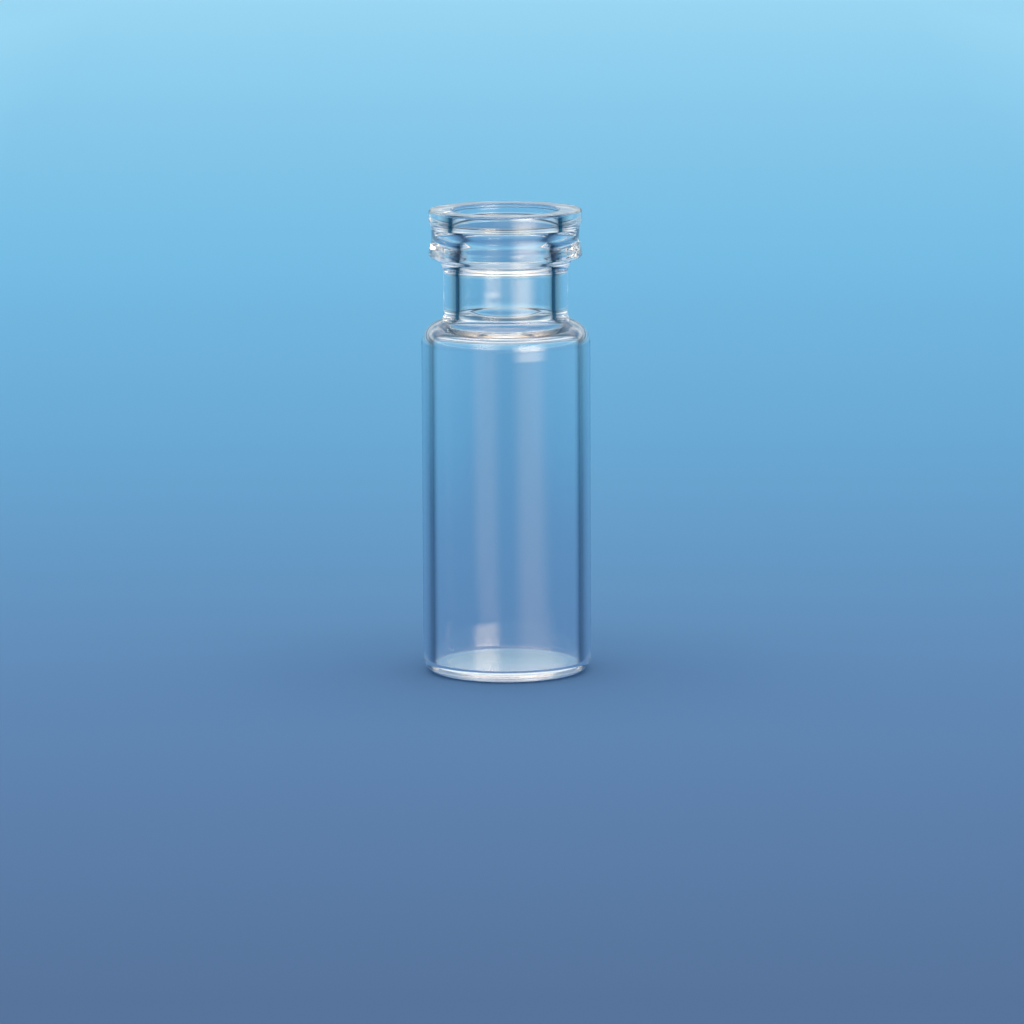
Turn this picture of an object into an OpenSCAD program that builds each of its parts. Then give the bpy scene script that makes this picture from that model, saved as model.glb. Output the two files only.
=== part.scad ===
// Glass sample vial with a wide mouth, made from one length of clear tube.
// The neck is drawn in from the body, the finish is rolled against a mandrel and
// the base is closed in the flame, so the whole vial is one turned form.
// Millimetres. The axis is Z and the vial stands on z = 0.

/* [Body] */
// Height from the table to the top of the rim
total_h = 32; // [30:0.5:50]
// Outside diameter of the body
body_d = 11.6; // [11:0.1:14]
// Thickness of the glass in the side wall and the shoulder
wall = 0.73; // [0.5:0.01:1.2]

/* [Base] */
// Height of the inside floor above the table
floor_h = 0.75; // [0.5:0.05:1.5]
// Rounding inside, between the floor and the side wall
floor_r = 0.7; // [0.3:0.1:1.5]
// Rounding outside, between the base and the side wall
heel_r = 1; // [0.5:0.1:1.4]
// Diameter of the shallow hollow under the base
punt_d = 8.4; // [5:0.1:8.6]
// Depth of the shallow hollow at the middle of the base
punt_h = 0.15; // [0.05:0.05:0.35]

/* [Shoulder] */
// Depth of the shoulder's foot below the top of the rim
shoulder_drop = 9.2; // [8.5:0.1:12]
// Rounding outside, between the body and the shoulder
shoulder_r = 1.56; // [1.3:0.02:2.1]
// Slope of the shoulder between its roundings, in degrees from level
shoulder_slope = 25.8; // [20:0.2:40]
// Rounding outside, where the shoulder runs up into the neck
neck_foot_r = 0.5; // [0.3:0.1:1.1]
// Rounding inside, where the shoulder runs up into the neck
throat_r = 1.72; // [0.8:0.02:2.2]

/* [Neck] */
// Outside diameter of the neck
neck_d = 8.54; // [8:0.02:9]
// Bore of the neck
bore_d = 6.54; // [5.8:0.02:6.8]

/* [Flare] */
// How far the top of the neck flares out, all round
flare_out = 0.39; // [0.2:0.01:0.6]
// Height of the flare
flare_h = 0.76; // [0.6:0.02:1.2]
// Rounding at the foot of the flare
flare_foot_r = 1.2; // [0.5:0.1:1.3]

/* [Finish] */
// Height of the finish, from the lower corner of its bead to the top of the rim
finish_h = 3.17; // [3:0.01:3.8]
// How far the bead under which a cap's skirt closes stands out from the neck
bead_out = 1.01; // [0.9:0.01:1.2]
// Rounding of the bead's lower edge
bead_edge_r = 0.22; // [0.1:0.02:0.34]
// Height of the slope under the bead, from the top of the flare to the bead
undercut_h = 0.72; // [0.4:0.02:1]
// Rounding between the flare and the slope under the bead
undercut_r = 0.58; // [0.2:0.02:0.8]
// How far the side of the bead draws in before it runs into the waist
bead_taper = 0.07; // [0.02:0.01:0.12]
// Depth of the waist between the bead and the rim, in from the bead
waist_in = 0.22; // [0.16:0.01:0.4]
// Depth of the middle of the waist below the top of the rim
waist_drop = 1.72; // [1.6:0.02:1.9]
// Radius of the waist's hollow curve
waist_curve_r = 2.6; // [2.2:0.1:3.2]
// How far the rim stands out from the middle of the waist
rim_out = 0.19; // [0.1:0.01:0.4]
// Rounding of the rim's outside edge
rim_edge_r = 0.12; // [0.04:0.01:0.4]

/* [Mouth] */
// Bore of the mouth, inside the rim
mouth_d = 7.48; // [7.4:0.02:7.8]
// Depth of the mouth's straight bore below the rim
mouth_h = 1.2; // [0.7:0.05:1.4]
// Height of the funnel in which the mouth narrows
funnel_h = 0.86; // [0.6:0.02:1.2]
// How much wider than the bore of the neck the funnel's foot is, all round
funnel_out = 0.05; // [0.02:0.01:0.12]
// Rounding at the foot of the funnel
funnel_r = 1.4; // [0.6:0.1:1.8]
// Height of the slight taper from the funnel's foot down to the bore of the neck
taper_h = 1.05; // [0.8:0.05:1.8]
// Rounding of the lip
lip_r = 0.15; // [0.08:0.01:0.3]
// How far the lip overhangs the bore of the mouth
lip_over = 0.11; // [0.02:0.01:0.14]

/* [Hidden] */
$fn = 96;

// Radii of the turned form
body_r = body_d / 2;
inner_r = body_r - wall;
neck_r = neck_d / 2;
bore_r = bore_d / 2;
bead_r = neck_r + bead_out;
bead_top_r = bead_r - bead_taper;
waist_r = bead_r - waist_in;
rim_r = waist_r + rim_out;
mouth_r = mouth_d / 2;
lip_x = mouth_r - lip_over + lip_r;

// Heights, from the rim down to the shoulder
lip_z = total_h - lip_r;
mouth_z = total_h - mouth_h;
funnel_z = mouth_z - funnel_h;
taper_z = funnel_z - taper_h;
rim_edge_z = total_h - rim_edge_r;
waist_z = total_h - waist_drop;
bead_z = total_h - finish_h;
flare_z = bead_z - undercut_h;
neck_top_z = flare_z - flare_h;
shoulder_z = total_h - shoulder_drop;

// The shoulder's cone: the rounding that it leaves has its centre at shoulder_x, and
// every tangent point on it lies in the direction of the cone's outward normal
shoulder_x = body_r - shoulder_r;
inner_shoulder_r = shoulder_r - wall;
cone_normal = [sin(shoulder_slope), cos(shoulder_slope)];

// Height of the centre of a rounding of radius r that touches both the cone and an
// upright wall at radius x; reach is the radius of the rounding at the cone's foot
function foot_z(x, r, reach) =
    shoulder_z + (reach + r - (x + r - shoulder_x) * cone_normal.x) / cone_normal.y;

neck_foot = [neck_r + neck_foot_r, foot_z(neck_r, neck_foot_r, shoulder_r)];
throat = [bore_r + throat_r, foot_z(bore_r, throat_r, inner_shoulder_r)];

// Direction from one point to another, at length 1
function heading(from, to) = (to - from) / norm(to - from);

// Half the angle at a corner between the sides to its neighbours a and b
function half_angle(a, corner, b) =
    acos(heading(corner, a) * heading(corner, b)) / 2;

// Where a rounding of radius r at a corner touches the side towards a
function touch(a, corner, b, r) =
    corner + heading(corner, a) * r / tan(half_angle(a, corner, b));

// Centre of that rounding
function rounding(a, corner, b, r) =
    corner + heading([0, 0], heading(corner, a) + heading(corner, b))
    * r / sin(half_angle(a, corner, b));

// Corners of the finish before they are rounded
neck_low = [neck_r, neck_foot.y];
neck_top = [neck_r, neck_top_z];
flare = [neck_r + flare_out, flare_z];
bead = [bead_r, bead_z];

// Corners of the inside, from the bore of the neck up to that of the mouth
taper_foot = [bore_r, taper_z];
funnel_foot = [bore_r + funnel_out, funnel_z];
mouth_foot = [mouth_r, mouth_z];

// The waist is cut by a disc, which the straight side of the bead enters at bead_top
waist = [waist_r + waist_curve_r, waist_z];
bead_top = [
    bead_top_r,
    waist_z - sqrt(pow(waist_curve_r, 2) - pow(waist.x - bead_top_r, 2))
];

// Point nearest the middle of the waist's disc on the line of the bead's side
bead_side = heading(bead, bead_top);
bead_side_end = bead + (waist - bead) * bead_side * bead_side;

// Radius of the ball whose cap is the hollow under the base
punt_ball_r = (pow(punt_d / 2, 2) + pow(punt_h, 2)) / (2 * punt_h);

module disc(centre, r) {
    translate(centre) circle(r);
}

// A band of the half section, from the axis out to r, between two heights
module band(r, low, high) {
    translate([0, low]) square([r, high - low]);
}

// Half section of the body and the shoulder, taken as solid glass
module body_form() {
    band(body_r - heel_r, 0, heel_r);
    disc([body_r - heel_r, heel_r], heel_r);
    band(body_r, heel_r, shoulder_z);
    disc([shoulder_x, shoulder_z], shoulder_r);
    difference() {
        polygon([
            [0, shoulder_z],
            [shoulder_x, shoulder_z],
            [shoulder_x, shoulder_z] + shoulder_r * cone_normal,
            neck_foot - neck_foot_r * cone_normal,
            [neck_r, neck_foot.y],
            [0, neck_foot.y]
        ]);
        disc(neck_foot, neck_foot_r);
    }
}

// Half section of the neck, its flare and the finish, taken as solid glass
module finish_form() {
    difference() {
        polygon([
            [0, neck_low.y],
            neck_low,
            touch(neck_low, neck_top, flare, flare_foot_r),
            touch(flare, neck_top, neck_low, flare_foot_r),
            touch(neck_top, flare, bead, undercut_r),
            touch(bead, flare, neck_top, undercut_r),
            touch(flare, bead, bead_top, bead_edge_r),
            touch(bead_top, bead, flare, bead_edge_r),
            bead_side_end,
            [rim_r, waist_z],
            [rim_r, rim_edge_z],
            [rim_r - rim_edge_r, total_h],
            [0, total_h]
        ]);
        disc(rounding(neck_low, neck_top, flare, flare_foot_r), flare_foot_r);
        disc(rounding(neck_top, flare, bead, undercut_r), undercut_r);
        disc(waist, waist_curve_r);
    }
    disc(rounding(flare, bead, bead_top, bead_edge_r), bead_edge_r);
    disc([rim_r - rim_edge_r, rim_edge_z], rim_edge_r);
}

// Half section of the space inside
module cavity() {
    band(inner_r - floor_r, floor_h, floor_h + floor_r);
    disc([inner_r - floor_r, floor_h + floor_r], floor_r);
    band(inner_r, floor_h + floor_r, shoulder_z);
    disc([shoulder_x, shoulder_z], inner_shoulder_r);
    difference() {
        polygon([
            [0, shoulder_z],
            [shoulder_x, shoulder_z],
            [shoulder_x, shoulder_z] + inner_shoulder_r * cone_normal,
            throat - throat_r * cone_normal,
            [bore_r, throat.y],
            [0, throat.y]
        ]);
        disc(throat, throat_r);
    }
    band(bore_r, throat.y, taper_z);
    difference() {
        polygon([
            [0, taper_z],
            taper_foot,
            touch(taper_foot, funnel_foot, mouth_foot, funnel_r),
            touch(mouth_foot, funnel_foot, taper_foot, funnel_r),
            mouth_foot,
            [0, mouth_z]
        ]);
        disc(rounding(taper_foot, funnel_foot, mouth_foot, funnel_r), funnel_r);
    }
    difference() {
        union() {
            band(mouth_r, mouth_z, lip_z);
            band(lip_x, lip_z, total_h + 1);
        }
        disc([lip_x, lip_z], lip_r);
    }
}

module vial() {
    color("lightcyan", 0.4)
    rotate_extrude()
    difference() {
        union() {
            body_form();
            finish_form();
        }
        cavity();
        disc([0, punt_h - punt_ball_r], punt_ball_r);
    }
}

vial();
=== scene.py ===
from math import asin, atan2, cos, pi, radians, sin, sqrt, tan

import bmesh
import bpy
from mathutils import Matrix, Vector


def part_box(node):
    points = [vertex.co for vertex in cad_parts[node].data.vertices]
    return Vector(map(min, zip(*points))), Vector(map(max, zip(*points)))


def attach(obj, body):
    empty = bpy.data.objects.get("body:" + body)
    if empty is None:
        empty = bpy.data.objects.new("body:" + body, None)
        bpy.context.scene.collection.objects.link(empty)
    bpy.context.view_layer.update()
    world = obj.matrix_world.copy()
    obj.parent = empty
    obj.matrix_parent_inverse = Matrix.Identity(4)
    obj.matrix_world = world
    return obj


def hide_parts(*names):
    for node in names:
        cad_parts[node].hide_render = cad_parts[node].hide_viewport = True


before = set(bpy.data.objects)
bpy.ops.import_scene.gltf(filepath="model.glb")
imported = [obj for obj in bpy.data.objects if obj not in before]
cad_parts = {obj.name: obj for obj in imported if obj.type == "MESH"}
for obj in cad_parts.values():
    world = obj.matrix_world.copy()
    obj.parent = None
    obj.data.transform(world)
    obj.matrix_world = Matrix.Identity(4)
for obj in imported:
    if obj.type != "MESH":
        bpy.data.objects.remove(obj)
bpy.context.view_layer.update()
VIAL_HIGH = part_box("vial")[1]

bl_info = {
    "name": "Glass Sample Vial",
    "version": (1, 0, 0),
    "blender": (4, 5, 0),
    "location": "View3D > Sidebar > Vial",
    "description": "Turns a beaded glass sample vial and sets the bench that it stands on",
    "category": "Add Mesh",
}

MM = 0.001

# Values kept on the points of the glass, the depth of its painted shade, and of the light card
PAINTED_SHADE_KEY = "painted_edge_shade"
GLOW = "card_glow"

# Mesh: how far from its end a straight line has the point that keeps its shading straight,
# how near points are merged, the steps of arcs and of the turning, and the least angle
# that stays a sharp edge
HOLD = 0.03 * MM
MERGE = 0.0005 * MM
ARC_STEP = radians(4)
GLASS_STEPS = 288
SHARP = radians(20)

# Light of the room by the sine of the angle above the horizon, the same all round
DOME = (
    (0.0, (0.45, 0.60, 0.75)),
    (0.017, (0.03, 0.04, 0.05)),
    (0.030, (0.06, 0.09, 0.12)),
    (0.041, (0.46, 0.64, 0.82)),
    (0.07, (0.58, 0.80, 0.98)),
    (0.091, (0.38, 0.42, 0.48)),
    (0.103, (0.14, 0.20, 0.28)),
    (0.109, (0.66, 0.79, 0.85)),
    (0.113, (0.66, 0.79, 0.85)),
    (0.119, (0.06, 0.14, 0.24)),
    (0.131, (0.06, 0.20, 0.34)),
    (0.148, (0.40, 0.55, 0.66)),
    (0.1745, (0.61, 0.85, 0.95)),
    (0.180, (0.53, 0.75, 0.85)),
    (0.190, (0.93, 1.03, 1.11)),
    (0.208, (1.10, 1.18, 1.24)),
    (0.242, (1.48, 1.42, 1.34)),
    (0.292, (0.50, 0.75, 0.94)),
    (0.342, (0.28, 0.48, 0.78)),
    (0.407, (0.70, 0.78, 0.90)),
    (0.469, (0.96, 0.99, 1.06)),
    (0.545, (0.52, 0.70, 0.88)),
    (0.707, (0.42, 0.62, 0.68)),
    (0.866, (2.60, 1.90, 1.35)),
    (0.90, (4.00, 3.20, 2.70)),
    (0.93, (3.20, 2.70, 2.30)),
    (0.948, (0.30, 0.40, 0.50)),
    (1.0, (0.30, 0.40, 0.50)),
)

# How deep the painted shade on the glass is, by how nearly edge on its inside is met. The painted
# shade stands in for the dark room that the glass shows near its edges
PAINTED_SHADE_BY_FACING = (
    (0.15, 0.08),
    (0.20, 0.30),
    (0.22, 0.50),
    (0.232, 0.68),
    (0.238, 0.84),
    (0.245, 1.0),
    (0.273, 1.0),
    (0.282, 0.80),
    (0.295, 0.68),
    (0.325, 0.48),
    (0.357, 0.26),
    (0.41, 0.0),
)

# How deep the painted shade may get on the outside of the body, on its inside, in the funnel of
# the mouth and in the neck. Inside, it deepens from body to neck over a short rise
PAINTED_SHADE_OUTSIDE = 0.1
PAINTED_SHADE_BODY = 0.58
PAINTED_SHADE_FUNNEL = 0.7
PAINTED_SHADE_NECK = 1.0
PAINTED_SHADE_RISE = 2.0 * MM

# Light card in front of the vial. It lies just over the floor, by the lift, and then stands
# up, and reaches from the first to the last angle round from the front, in degrees to the
# right. Its outline gives distance from the axis and height, in millimetres, and
# brightness. The light fades towards both ends over a share of its width
CARD_FIRST = 4.0
CARD_LAST = 64.0
CARD_OUTLINE = (
    (6.3, 0, 0.20),
    (167.5, 0, 0.22),
    (168, 0, 0.9),
    (168.5, 14, 1.0),
    (169, 20, 1.6),
    (169.5, 120, 1.6),
)
CARD_LIFT = 0.3
CARD_STEPS = 36
CARD_FADE = 0.4

# The floor changes colour from front to back. It starts this far from the axis, in front,
# and goes on over this length, in metres. Outside a middle strip it pales sooner to the
# sides, by the slant
FLOOR_FRONT = -0.25
FLOOR_LENGTH = 0.85
FLOOR_STRIP = 0.06
FLOOR_SLANT = 4.0
FLOOR_RADIUS = 3.0

# Camera: place in metres, turns in degrees, and focal length in pixels of the picture
CAMERA_PLACE = (0.0, -0.457, 0.083)
CAMERA_YAW = -0.046
CAMERA_PITCH = -8.95
CAMERA_ROLL = -0.27
FOCAL_PIXELS = 6715
PICTURE_PIXELS = 1024
SENSOR_WIDTH = 36.0


def length(name, description, millimetres):
    """A size of the vial, given in millimetres and kept in metres."""
    return bpy.props.FloatProperty(
        name=name,
        description=description,
        default=millimetres * MM,
        min=0.0,
        precision=5,
        subtype="DISTANCE",
        unit="LENGTH",
    )


def tint(name, description, colour):
    """A colour that a user may change."""
    return bpy.props.FloatVectorProperty(
        name=name,
        description=description,
        default=colour,
        min=0.0,
        max=1.0,
        size=3,
        subtype="COLOR",
    )


def factor(name, description, default, highest=1.0):
    """A plain number from nought up."""
    return bpy.props.FloatProperty(
        name=name, description=description, default=default, min=0.0, max=highest
    )


class VialSizes(bpy.types.PropertyGroup):
    """Sizes of the turned glass, as on the section through its axis."""

    height: length("Height", "From the table to the top of the rim", VIAL_HIGH.z / MM)
    body_radius: length("Body radius", "Outside radius of the body", VIAL_HIGH.x / MM)
    wall: length("Wall", "Thickness of the side wall and the shoulder", 0.73)
    floor: length("Floor", "Height of the inside floor", 0.75)
    floor_round: length("Floor rounding", "Inside, from floor to wall", 0.15)
    heel_round: length("Heel rounding", "Outside, from base to wall", 1.0)
    hollow_radius: length("Hollow radius", "Of the hollow under the base", 4.2)
    hollow_depth: length("Hollow depth", "Of the hollow under the base", 0.01)
    shoulder_drop: length("Shoulder drop", "Shoulder's foot below the rim", 9.2)
    shoulder_round: length("Shoulder rounding", "Outside, body to slope", 1.56)
    shoulder_slope: bpy.props.FloatProperty(
        name="Shoulder slope",
        description="Angle of the shoulder from level",
        default=radians(25.8),
        subtype="ANGLE",
        unit="ROTATION",
    )
    neck_foot_round: length("Neck foot rounding", "Outside, slope to neck", 0.5)
    throat_round: length("Throat rounding", "Inside, slope to bore", 1.72)
    neck_radius: length("Neck radius", "Outside radius of the neck", 4.27)
    bore_radius: length("Bore radius", "Radius of the neck's bore", 3.27)
    finish_height: length("Finish height", "From bead to top of rim", 3.17)
    flare_radius: length("Flare radius", "Where the neck's flare meets the undercut", 4.5)
    flare_height: length("Flare height", "Height of that corner above the neck", 0.6)
    undercut_height: length("Undercut height", "From that corner up to the bead", 0.4)
    flare_foot_round: length("Flare foot rounding", "From neck to flare", 1.2)
    flare_round: length("Flare rounding", "From flare to undercut", 0.3)
    bead_radius: length("Bead radius", "Radius at the bead's lower edge", 5.28)
    bead_round: length("Bead rounding", "Rounding of the bead's lower edge", 0.22)
    bead_top_radius: length("Bead top radius", "Radius where the waist begins", 5.21)
    waist_radius: length("Waist radius", "Least radius between bead and rim", 5.06)
    waist_height: length("Waist height", "Depth of the waist below the rim", 1.72)
    waist_round: length("Waist rounding", "Radius of the waist's hollow", 2.6)
    rim_radius: length("Rim radius", "Outside radius of the rim", 5.25)
    rim_round: length("Rim rounding", "Outside edge of the rim", 0.12)
    mouth_radius: length("Mouth radius", "Bore inside the rim", 3.74)
    mouth_depth: length("Mouth depth", "From the rim to the top of the funnel", 1.2)
    funnel_height: length("Funnel height", "In which the mouth narrows", 0.86)
    funnel_radius: length("Funnel foot radius", "Bore at the foot of the funnel", 3.32)
    funnel_round: length("Funnel rounding", "At the foot of the funnel", 1.4)
    taper_height: length("Taper height", "From the funnel's foot to the neck's bore", 1.05)
    lip_radius: length("Lip radius", "Radius of the opening", 3.63)
    lip_round: length("Lip rounding", "Rounding of the lip", 0.15)


class VialGlass(bpy.types.PropertyGroup):
    """Finish of the glass."""

    clear: tint("Clear glass", "Tint of the glass seen square on", (0.985, 0.98, 0.985))
    # Colour of the painted shade laid where the glass is seen edge on
    edge: tint("Painted edge shade", "Painted shade where the glass is seen edge on", (0.04, 0.18, 0.27))
    relief: length("Relief", "Height of the draw lines left from forming", 0.0012)
    smear: factor("Smear", "Roughness of the faint smears", 0.03)


class StudioLook(bpy.types.PropertyGroup):
    """Colours and light of the bench."""

    # A painted pool of window light on the floor far in front of the vial
    floor_painted_window_light: tint("Painted window light on the floor", "Floor far in front of the vial", (0.65, 0.75, 0.80))
    floor_front: tint("Floor in front", "Floor a hand in front of the vial", (0.081, 0.158, 0.315))
    floor_near: tint("Floor near", "Floor under the vial", (0.106, 0.236, 0.463))
    floor_palm: tint("Floor behind", "Floor a palm behind the vial", (0.123, 0.359, 0.628))
    floor_middle: tint("Floor middle", "Floor a hand behind the vial", (0.156, 0.460, 0.741))
    floor_far: tint("Floor far", "Floor towards its far edge", (0.274, 0.612, 0.854))
    card: tint("Card colour", "Warm white of the light card", (1.0, 0.78, 0.52))
    card_strength: factor("Card strength", "Brightness of the light card", 4.5, 10.0)


def draw_line(bm, tip, x, z):
    """Draw an outline on from its tip, straight to radius x and height z. A long line gets
    a point close to each end, so that its shading stays straight between roundings."""
    start = tip.co.copy()
    end = Vector((x, 0.0, z))
    stops = [end]
    if (end - start).length > 4 * HOLD:
        hold = (end - start).normalized() * HOLD
        stops = [start + hold, end - hold, end]
    for stop in stops:
        tip = bmesh.ops.extrude_vert_indiv(bm, verts=[tip])["verts"][0]
        tip.co = stop
    return tip


def draw_arc(bm, tip, centre, turn):
    """Draw an outline on from its tip, round a centre. A positive turn is anticlockwise."""
    made = bmesh.ops.spin(
        bm,
        geom=[tip],
        cent=(centre[0], 0.0, centre[1]),
        axis=(0.0, -1.0, 0.0),
        angle=turn,
        steps=max(8, int(abs(turn) / ARC_STEP)),
    )
    return [item for item in made["geom_last"] if isinstance(item, bmesh.types.BMVert)][0]


def draw_corners(bm, tip, corners):
    """Draw an outline on from its tip along straight lines, past corners given as radius,
    height and rounding, and end at the last of them."""
    for (x, z, rounding), (next_x, next_z, _) in zip(corners, corners[1:]):
        corner = Vector((x, z))
        back = (Vector((tip.co.x, tip.co.z)) - corner).normalized()
        ahead = (Vector((next_x, next_z)) - corner).normalized()
        if rounding == 0.0:
            tip = draw_line(bm, tip, x, z)
            continue
        half = back.angle(ahead) / 2
        begin = corner + back * rounding / tan(half)
        centre = corner + (back + ahead).normalized() * rounding / sin(half)
        turn = pi - 2 * half
        anticlockwise = ahead.x * back.y - ahead.y * back.x > 0
        tip = draw_line(bm, tip, *begin)
        tip = draw_arc(bm, tip, centre, turn if anticlockwise else -turn)
    return draw_line(bm, tip, *corners[-1][:2])


def slope_z(s, x, reach):
    """Height at radius x of the shoulder's slope, which touches the rounding of radius
    reach at the shoulder's foot."""
    along = (x - s.body_radius + s.shoulder_round) * sin(s.shoulder_slope)
    return s.height - s.shoulder_drop + (reach - along) / cos(s.shoulder_slope)


def draw_outside(bm, s):
    """The outside of the section, from the middle of the base up to the rim."""
    hollow_round = (s.hollow_radius**2 + s.hollow_depth**2) / (2 * s.hollow_depth)
    tip = bmesh.ops.create_vert(bm, co=(0.0, 0.0, s.hollow_depth))["vert"][0]
    hollow = (0.0, s.hollow_depth - hollow_round)
    tip = draw_arc(bm, tip, hollow, -asin(s.hollow_radius / hollow_round))
    bead_z = s.height - s.finish_height
    flare_z = bead_z - s.undercut_height
    waist_z = s.height - s.waist_height
    below = s.bead_top_radius - s.waist_radius
    above = s.rim_radius - s.waist_radius
    drop = sqrt(below * (2 * s.waist_round - below))
    rise = sqrt(above * (2 * s.waist_round - above))
    tip = draw_corners(bm, tip, (
        (s.body_radius, 0.0, s.heel_round),
        (s.body_radius, slope_z(s, s.body_radius, s.shoulder_round), s.shoulder_round),
        (s.neck_radius, slope_z(s, s.neck_radius, s.shoulder_round), s.neck_foot_round),
        (s.neck_radius, flare_z - s.flare_height, s.flare_foot_round),
        (s.flare_radius, flare_z, s.flare_round),
        (s.bead_radius, bead_z, s.bead_round),
        (s.bead_top_radius, waist_z - drop, 0.0),
    ))
    turn = asin(drop / s.waist_round) + asin(rise / s.waist_round)
    tip = draw_arc(bm, tip, (s.waist_radius + s.waist_round, waist_z), -turn)
    tip = draw_line(bm, tip, s.rim_radius, s.height - s.rim_round)
    return draw_arc(bm, tip, (s.rim_radius - s.rim_round, s.height - s.rim_round), pi / 2)


def draw_inside(bm, s, tip):
    """The inside of the section, from the rim down to the middle of the floor."""
    lip = (s.lip_radius + s.lip_round, s.height - s.lip_round)
    tip = draw_line(bm, tip, lip[0], s.height)
    overhang = asin((s.lip_round - (s.mouth_radius - s.lip_radius)) / s.lip_round)
    tip = draw_arc(bm, tip, lip, pi - overhang)
    mouth_z = s.height - s.mouth_depth
    inner = s.body_radius - s.wall
    inner_round = s.shoulder_round - s.wall
    funnel_z = mouth_z - s.funnel_height
    draw_corners(bm, tip, (
        (s.mouth_radius, mouth_z, 0.0),
        (s.funnel_radius, funnel_z, s.funnel_round),
        (s.bore_radius, funnel_z - s.taper_height, 0.0),
        (s.bore_radius, slope_z(s, s.bore_radius, inner_round), s.throat_round),
        (inner, slope_z(s, inner, inner_round), inner_round),
        (inner, s.floor, s.floor_round),
        (0.0, s.floor, 0.0),
    ))


def paint_shade_inside(bm, s, outside):
    """Note on each point of the outline how deep the painted shade on the glass may get. The
    floor, the top of the rim and the outside above the body stay clear."""
    share = bm.verts.layers.float[PAINTED_SHADE_KEY]
    foot = s.height - s.shoulder_drop
    bead_z = s.height - s.finish_height
    lip_z = s.height - 1.01 * s.lip_round
    wall_z = s.floor + s.floor_round - 0.01 * MM
    funnel_edge = s.bore_radius + 0.04 * MM
    for vert in bm.verts:
        x, _, z = vert.co
        if vert in outside:
            vert[share] = PAINTED_SHADE_OUTSIDE if z < foot else 0.0
        elif z > lip_z or z <= wall_z:
            vert[share] = 0.0
        elif funnel_edge < x < s.mouth_radius and z > bead_z:
            vert[share] = PAINTED_SHADE_FUNNEL
        else:
            up = min(1.0, max(0.0, (z - foot) / PAINTED_SHADE_RISE))
            vert[share] = PAINTED_SHADE_BODY + (PAINTED_SHADE_NECK - PAINTED_SHADE_BODY) * up


def finish_mesh(bm, name):
    """Make the shaped bmesh an object of the scene, closed, smooth and facing outwards."""
    bmesh.ops.remove_doubles(bm, verts=bm.verts, dist=MERGE)
    bmesh.ops.recalc_face_normals(bm, faces=bm.faces)
    for face in bm.faces:
        face.smooth = True
    for edge in bm.edges:
        edge.smooth = edge.calc_face_angle(0.0) < SHARP
    mesh = bpy.data.meshes.new(name)
    bm.to_mesh(mesh)
    bm.free()
    piece = bpy.data.objects.new(name, mesh)
    bpy.context.scene.collection.objects.link(piece)
    return piece


class Nodes:
    """Shorthand for building the nodes of one material or world."""

    def __init__(self, owner):
        owner.use_nodes = True
        self.tree = owner.node_tree

    def add(self, kind, settings=None, **values):
        """Add a node. Its sockets are named with _ for a space, and take a number, a
        colour or another node's output."""
        node = self.tree.nodes.new("ShaderNode" + kind)
        for name, setting in (settings or {}).items():
            setattr(node, name, setting)
        for name, value in values.items():
            self.put(node.inputs[name.replace("_", " ")], value)
        return node

    def put(self, socket, value):
        """Feed a socket from another node's output, or set it to a number or a colour."""
        if isinstance(value, bpy.types.NodeSocket):
            self.tree.links.new(value, socket)
        elif socket.type == "RGBA" and len(value) == 3:
            socket.default_value = (*value, 1.0)
        else:
            socket.default_value = value

    def maths(self, operation, *values):
        """Add a sum on numbers or outputs, in the order of its sockets."""
        node = self.tree.nodes.new("ShaderNodeMath")
        node.operation = operation
        for socket, value in zip(node.inputs, values):
            self.put(socket, value)
        return node.outputs["Value"]

    def ramp(self, value, stops):
        """Add a colour ramp through (position, grey or colour) stops."""
        node = self.add("ValToRGB", Fac=value)
        bands = node.color_ramp.elements
        for spare in range(len(stops) - 2):
            bands.new(0.5)
        for band, (position, colour) in zip(bands, stops):
            rgb = (colour,) * 3 if isinstance(colour, float) else colour
            band.position = position
            band.color = (*rgb, 1.0)
        return node.outputs["Color"]

    def mix_colours(self, factor, first, second):
        """Mix two colours. Each data type has its own sockets in this node, under the same
        names, so the colours' sockets are found by number."""
        node = self.add("Mix", {"data_type": "RGBA"}, Factor=factor)
        self.put(node.inputs[6], first)
        self.put(node.inputs[7], second)
        return node.outputs[2]


def smooth_step(build, value, first, last):
    """A soft rise from 0 to 1 as the value goes from first to last."""
    step = build.add("MapRange", {"interpolation_type": "SMOOTHSTEP"}, Value=value)
    step.inputs["From Min"].default_value = first
    step.inputs["From Max"].default_value = last
    return step.outputs["Result"]


def surface_relief(build, place):
    """Height over the glass: long draw lines from the tube, fine rings where the finish
    was rolled, and a seed in one of about three cells. Scales count cells to the metre."""
    spread = build.add("Mapping", Vector=place)
    spread.inputs["Scale"].default_value = (1.0, 1.0, 0.02)
    lines = build.add("TexNoise", Vector=spread.outputs["Vector"], Scale=420.0, Detail=1.0)
    up = build.add("SeparateXYZ", Vector=place).outputs["Z"]
    rings = build.add("TexNoise", {"noise_dimensions": "1D"}, W=up, Scale=900.0, Detail=1.0)
    rolled = smooth_step(build, up, 21.0 * MM, 27.0 * MM)
    ringed = build.maths("MULTIPLY", rings.outputs["Fac"], rolled)
    height = build.maths("MULTIPLY_ADD", ringed, 0.25, lines.outputs["Fac"])
    cells = build.add("TexVoronoi", Vector=place, Scale=260.0)
    pit = smooth_step(build, cells.outputs["Distance"], 0.0, 0.035)
    tone = build.add("SeparateColor", Color=cells.outputs["Color"])
    seeded = build.maths("GREATER_THAN", tone.outputs["Red"], 0.7)
    dip = build.maths("MULTIPLY", build.maths("SUBTRACT", 1.0, pit), seeded)
    return build.maths("MULTIPLY_ADD", dip, 1.5, height)


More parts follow.
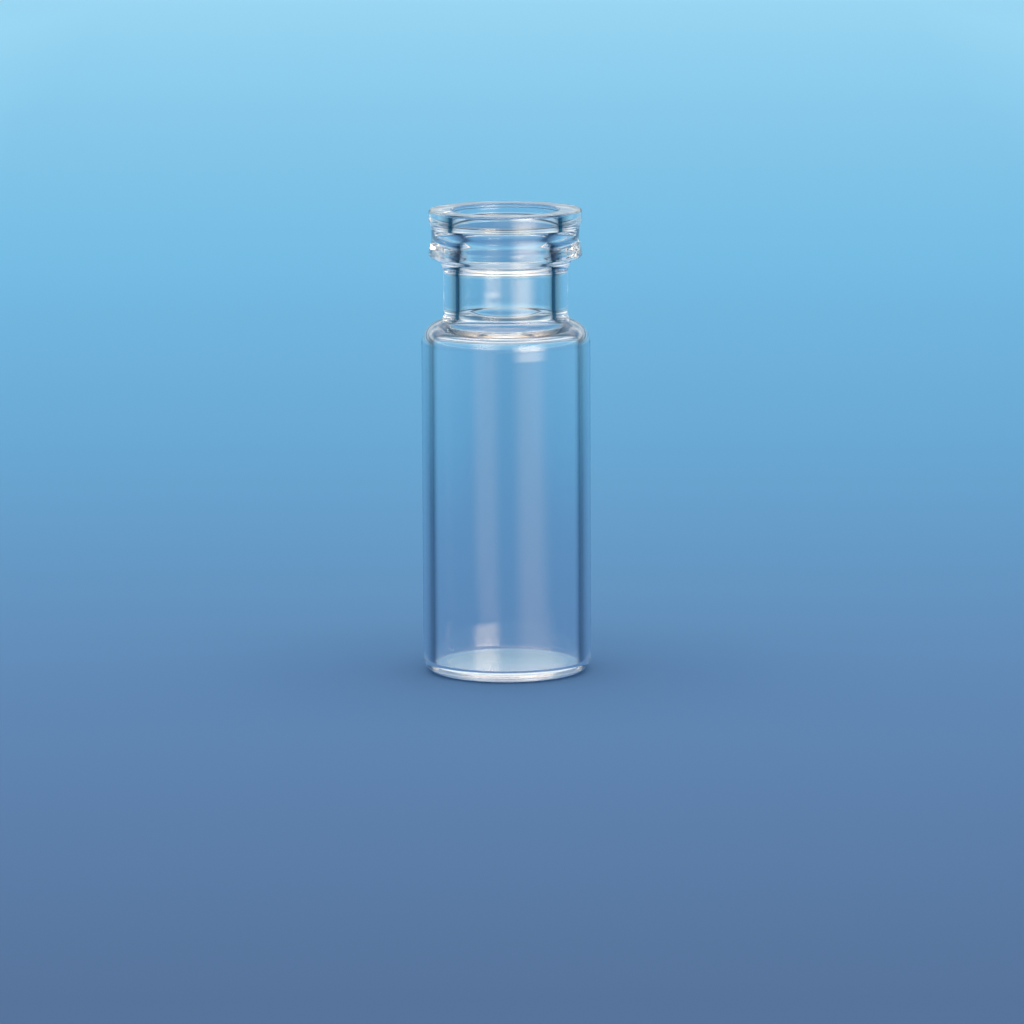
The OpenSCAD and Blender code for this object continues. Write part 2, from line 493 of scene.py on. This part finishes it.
def clear_glass(look):
    """Clear glass with painted shade where it is seen edge on, which stands in for the dark room
    that the glass shows near its edges. The painted shade is a coat that bends and mirrors
    nothing, laid only where the angle and the points' share together call for it."""
    material = bpy.data.materials.new("clear_glass")
    build = Nodes(material)
    shader = build.tree.nodes["Principled BSDF"]
    shader.inputs["Transmission Weight"].default_value = 1.0
    shader.inputs["IOR"].default_value = 1.5
    shader.inputs["Base Color"].default_value = (*look.clear, 1.0)
    place = build.add("TexCoord").outputs["Object"]
    height = surface_relief(build, place)
    relief = build.add("Bump", Height=height, Strength=1.0, Distance=look.relief)
    build.put(shader.inputs["Normal"], relief.outputs["Normal"])
    smears = build.add("TexNoise", Vector=place, Scale=260.0, Detail=3.0, Distortion=0.8)
    worn = build.ramp(smears.outputs["Fac"], ((0.55, 0.0), (0.8, look.smear)))
    build.put(shader.inputs["Roughness"], worn)
    # Painted shade: how nearly edge on the glass is met sets how much of a dark coat is laid on it
    facing = build.add("LayerWeight", Blend=0.5).outputs["Facing"]
    painted_shade_entering = build.ramp(facing, ((0.70, 0.0), (0.95, 1.0)))
    painted_shade_leaving = build.ramp(facing, PAINTED_SHADE_BY_FACING)
    inside = build.add("NewGeometry").outputs["Backfacing"]
    share = build.add("Attribute", {"attribute_name": PAINTED_SHADE_KEY}).outputs["Fac"]
    painted_shade = build.add("Mix", {"data_type": "FLOAT"}, Factor=inside, A=painted_shade_entering, B=painted_shade_leaving)
    deep = build.maths("SUBTRACT", build.maths("ADD", painted_shade.outputs["Result"], share), 1.0)
    build.put(shader.inputs["Coat Weight"], build.maths("MAXIMUM", deep, 0.0))
    shader.inputs["Coat IOR"].default_value = 1.0
    shader.inputs["Coat Roughness"].default_value = 0.0
    shader.inputs["Coat Tint"].default_value = (*look.edge, 1.0)
    return material


class VIAL_OT_turn_glass(bpy.types.Operator):
    """Turn the whole vial from one outline and give it its glass"""

    bl_idname = "vial.turn_glass"
    bl_label = "Turn the Glass"

    def execute(self, context):
        sizes = context.scene.vial_sizes
        bm = bmesh.new()
        bm.verts.layers.float.new(PAINTED_SHADE_KEY)
        tip = draw_outside(bm, sizes)
        outside = set(bm.verts)
        draw_inside(bm, sizes, tip)
        paint_shade_inside(bm, sizes, outside)
        bmesh.ops.spin(
            bm,
            geom=bm.verts[:] + bm.edges[:],
            cent=(0.0, 0.0, 0.0),
            axis=(0.0, 0.0, 1.0),
            angle=2 * pi,
            steps=GLASS_STEPS,
            use_merge=True,
        )
        piece = finish_mesh(bm, "glass_vial")
        piece.data.materials.append(clear_glass(context.scene.vial_glass))
        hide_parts("vial")
        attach(piece, "root")
        return {"FINISHED"}


def floor_paper(look):
    """Matt paper that pales towards the back. To every ray but the camera's, the paper glows with
    its own colour as painted light, so that through the glass it is seen as bright as in the open,
    in place of the light that the glass lets through to it."""
    material = bpy.data.materials.new("floor_paper")
    build = Nodes(material)
    split = build.add("SeparateXYZ", Vector=build.add("TexCoord").outputs["Object"])
    aside = build.maths("SUBTRACT", build.maths("ABSOLUTE", split.outputs["X"]), FLOOR_STRIP)
    aside = build.maths("MAXIMUM", aside, 0.0)
    along = build.maths("MULTIPLY_ADD", aside, FLOOR_SLANT, split.outputs["Y"])
    share = build.maths("MULTIPLY_ADD", along, 1 / FLOOR_LENGTH, -FLOOR_FRONT / FLOOR_LENGTH)
    # The paper pales towards the back, and far in front of the vial it has a painted pool of
    # window light
    shade = build.ramp(share, (
        (0.064, look.floor_painted_window_light[:]),
        (0.080, look.floor_front[:]),
        (0.176, look.floor_front[:]),
        (0.294, look.floor_near[:]),
        (0.424, look.floor_palm[:]),
        (0.580, look.floor_middle[:]),
        (0.975, look.floor_far[:]),
    ))
    # Painted light: to every ray but the camera's, the paper glows with its own colour
    glow = build.add("Emission", Color=shade)
    paper = build.add("BsdfDiffuse", Color=shade)
    mix = build.add("MixShader", Fac=build.add("LightPath").outputs["Is Camera Ray"])
    build.put(mix.inputs[1], glow.outputs["Emission"])
    build.put(mix.inputs[2], paper.outputs["BSDF"])
    build.put(build.tree.nodes["Material Output"].inputs["Surface"], mix.outputs["Shader"])
    material.cycles.emission_sampling = "NONE"
    return material


def soft_dome(look):
    """Light from all round, by height above the horizon. Past the edge of the floor the
    camera sees the floor's far colour instead. No part of the dome is sampled as a lamp,
    because it is large enough for plain rays to find."""
    world = bpy.data.worlds.new("studio")
    build = Nodes(world)
    split = build.add("SeparateXYZ", Vector=build.add("TexCoord").outputs["Generated"])
    light = build.ramp(split.outputs["Z"], DOME)
    seen = build.add("LightPath").outputs["Is Camera Ray"]
    colour = build.mix_colours(seen, light, look.floor_far[:])
    build.put(build.tree.nodes["Background"].inputs["Color"], colour)
    world.cycles.sampling_method = "NONE"
    return world


def card_light(look):
    """Light that shows only where the glass mirrors it, and is clear to all other rays."""
    material = bpy.data.materials.new("card_light")
    build = Nodes(material)
    glow = build.add("Attribute", {"attribute_name": GLOW}).outputs["Fac"]
    path = build.add("LightPath")
    mirrored = build.maths("GREATER_THAN", path.outputs["Glossy Depth"], 0.5)
    plain = build.maths("LESS_THAN", path.outputs["Diffuse Depth"], 0.5)
    shown = build.maths("MULTIPLY", build.maths("MULTIPLY", mirrored, plain), look.card_strength)
    strength = build.maths("MULTIPLY", glow, shown)
    light = build.add("Emission", Color=look.card[:], Strength=strength)
    clear = build.add("BsdfTransparent")
    both = build.add("AddShader")
    build.put(both.inputs[0], clear.outputs["BSDF"])
    build.put(both.inputs[1], light.outputs["Emission"])
    build.put(build.tree.nodes["Material Output"].inputs["Surface"], both.outputs["Shader"])
    material.cycles.emission_sampling = "NONE"
    return material


def add_card(material):
    """Turn the light card's outline through its width round the axis of the vial, and let
    its light fade towards both ends."""
    first = radians(CARD_FIRST)
    turn = radians(CARD_LAST - CARD_FIRST)
    bm = bmesh.new()
    glow = bm.verts.layers.float.new(GLOW)
    tip = None
    for distance, height, brightness in CARD_OUTLINE:
        reach = distance * MM
        spot = (reach * sin(first), -reach * cos(first), (height + CARD_LIFT) * MM)
        vert = bmesh.ops.create_vert(bm, co=spot)["vert"][0]
        vert[glow] = brightness
        if tip:
            bmesh.ops.contextual_create(bm, geom=[tip, vert])
        tip = vert
    bmesh.ops.spin(
        bm,
        geom=bm.verts[:] + bm.edges[:],
        cent=(0.0, 0.0, 0.0),
        axis=(0.0, 0.0, 1.0),
        angle=turn,
        steps=CARD_STEPS,
    )
    for vert in bm.verts:
        turned = (atan2(vert.co.x, -vert.co.y) - first) / turn
        edge = min(1.0, max(0.0, min(turned, 1.0 - turned) / CARD_FADE))
        vert[glow] *= edge * edge * (3 - 2 * edge)
    card = finish_mesh(bm, "light_card")
    card.data.materials.append(material)
    card.visible_shadow = False
    card.visible_diffuse = False


def add_floor(material):
    """A round floor, much larger than what the camera sees of it."""
    bm = bmesh.new()
    bmesh.ops.create_circle(bm, cap_ends=True, segments=96, radius=FLOOR_RADIUS)
    floor = finish_mesh(bm, "floor")
    floor.data.materials.append(material)


def add_camera():
    """The camera, a little above the vial and in front of it."""
    camera = bpy.data.objects.new("camera", bpy.data.cameras.new("camera"))
    bpy.context.scene.collection.objects.link(camera)
    camera.data.sensor_width = SENSOR_WIDTH
    camera.data.lens = SENSOR_WIDTH * FOCAL_PIXELS / PICTURE_PIXELS
    camera.data.clip_start = 0.01
    place = Matrix.Translation(CAMERA_PLACE)
    yaw = Matrix.Rotation(radians(CAMERA_YAW), 4, "Z")
    pitch = Matrix.Rotation(pi / 2 + radians(CAMERA_PITCH), 4, "X")
    roll = Matrix.Rotation(radians(CAMERA_ROLL), 4, "Z")
    camera.matrix_world = place @ yaw @ pitch @ roll
    bpy.context.scene.camera = camera


class VIAL_OT_set_stage(bpy.types.Operator):
    """Lay the floor, light the bench and place the camera"""

    bl_idname = "vial.set_stage"
    bl_label = "Set the Stage"

    def execute(self, context):
        scene = context.scene
        look = scene.vial_studio
        add_floor(floor_paper(look))
        scene.world = soft_dome(look)
        add_card(card_light(look))
        add_camera()
        scene.view_settings.view_transform = "Standard"
        # The bead, the foot of the neck and the base pass light on through many surfaces,
        # and turn black with fewer bounces than these
        scene.cycles.max_bounces = 40
        scene.cycles.transmission_bounces = 40
        scene.cycles.glossy_bounces = 24
        return {"FINISHED"}


class VIAL_PT_bench(bpy.types.Panel):
    """The steps that make the vial, in their order"""

    bl_idname = "VIAL_PT_bench"
    bl_label = "Sample Vial"
    bl_space_type = "VIEW_3D"
    bl_region_type = "UI"
    bl_category = "Vial"

    def draw(self, context):
        for step in STEPS:
            self.layout.operator(step.bl_idname)


STEPS = (VIAL_OT_turn_glass, VIAL_OT_set_stage)
CLASSES = (VialSizes, VialGlass, StudioLook, *STEPS, VIAL_PT_bench)


def register():
    for item in CLASSES:
        bpy.utils.register_class(item)
    bpy.types.Scene.vial_sizes = bpy.props.PointerProperty(type=VialSizes)
    bpy.types.Scene.vial_glass = bpy.props.PointerProperty(type=VialGlass)
    bpy.types.Scene.vial_studio = bpy.props.PointerProperty(type=StudioLook)


def unregister():
    del bpy.types.Scene.vial_studio
    del bpy.types.Scene.vial_glass
    del bpy.types.Scene.vial_sizes
    for item in reversed(CLASSES):
        bpy.utils.unregister_class(item)


def main():
    register()
    bpy.ops.vial.turn_glass()
    bpy.ops.vial.set_stage()


if __name__ == "__main__":
    main()
